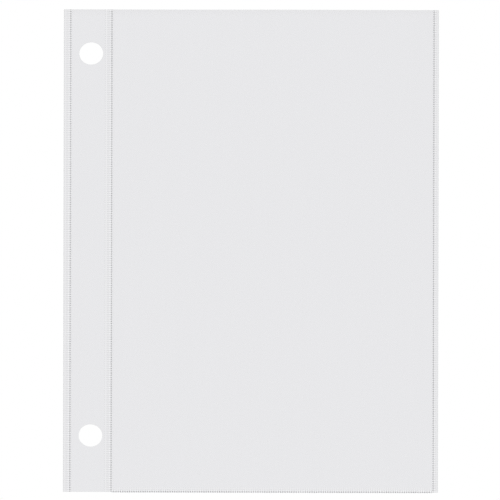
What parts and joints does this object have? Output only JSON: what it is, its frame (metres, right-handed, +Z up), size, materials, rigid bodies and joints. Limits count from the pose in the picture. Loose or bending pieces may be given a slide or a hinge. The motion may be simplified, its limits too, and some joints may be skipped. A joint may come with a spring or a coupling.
{
  "type": "photo pocket page",
  "caption": "Clear plastic album page with a top-loading photo pocket and a punched binding strip, sealed along serrated weld lines.",
  "frame": {"origin": "midway between the two ring holes, in the middle of the page's thickness", "axes": "+X from the binding strip to the fore edge, +Z up towards the pocket's open mouth, and the front of the page faces -Y"},
  "size_m": [0.1219, 0.0006, 0.1569],
  "materials": {
    "film": "clear polypropylene film with a light matt grain",
    "weld": "heat-sealed film, knurled and slightly hazy"
  },
  "bodies": {
    "binding_strip": {"binding_front_film": "film", "binding_back_film": "film", "spine_weld": "weld", "divider_weld": "weld"},
    "pocket_back": {"pocket_back_film": "film", "fore_edge_weld": "weld", "bottom_weld": "weld"},
    "pocket_front": {"pocket_front_film": "film"}
  },
  "joints": [
    {"name": "page_fold", "type": "hinge", "parent": "binding_strip", "child": "pocket_back", "pos_m": [0.00675, 0, 0], "axis": [0, 0, 1], "range_deg": [-90, 90], "stiffness_Nm_per_rad": 0.01},
    {"name": "mouth_open", "type": "hinge", "parent": "pocket_back", "child": "pocket_front", "pos_m": [0.00675, -0.00015, -0.0804], "axis": [1, 0, 0], "range_deg": [0, 3], "stiffness_Nm_per_rad": 0.02}
  ]
}
